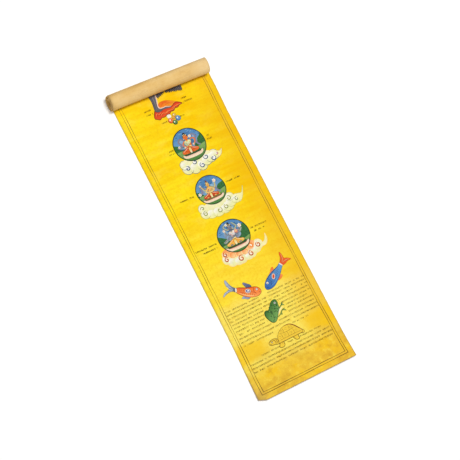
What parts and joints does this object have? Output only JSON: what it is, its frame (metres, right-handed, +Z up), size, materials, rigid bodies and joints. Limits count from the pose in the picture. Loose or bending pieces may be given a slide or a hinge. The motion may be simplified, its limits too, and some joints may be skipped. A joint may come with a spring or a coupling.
{
  "type": "paper scroll",
  "caption": "Hand-made paper scroll lying open on its back: a long painted strip lies flat with a slightly lifted free edge, and the rest is wound in a roll at the other end.",
  "frame": {"origin": "middle of the footprint, on the surface that the scroll lies on", "axes": "+X across the strip to the reader's right, +Y along the strip from its free edge towards the roll, +Z up"},
  "size_m": [0.2, 0.6115, 0.031],
  "materials": {
    "scroll_paper": "matte hand-made bast-fibre paper: painted yellow on the face, bare tan on the back"
  },
  "bodies": {
    "root": {"paper_scroll": "scroll_paper"}
  },
  "joints": []
}
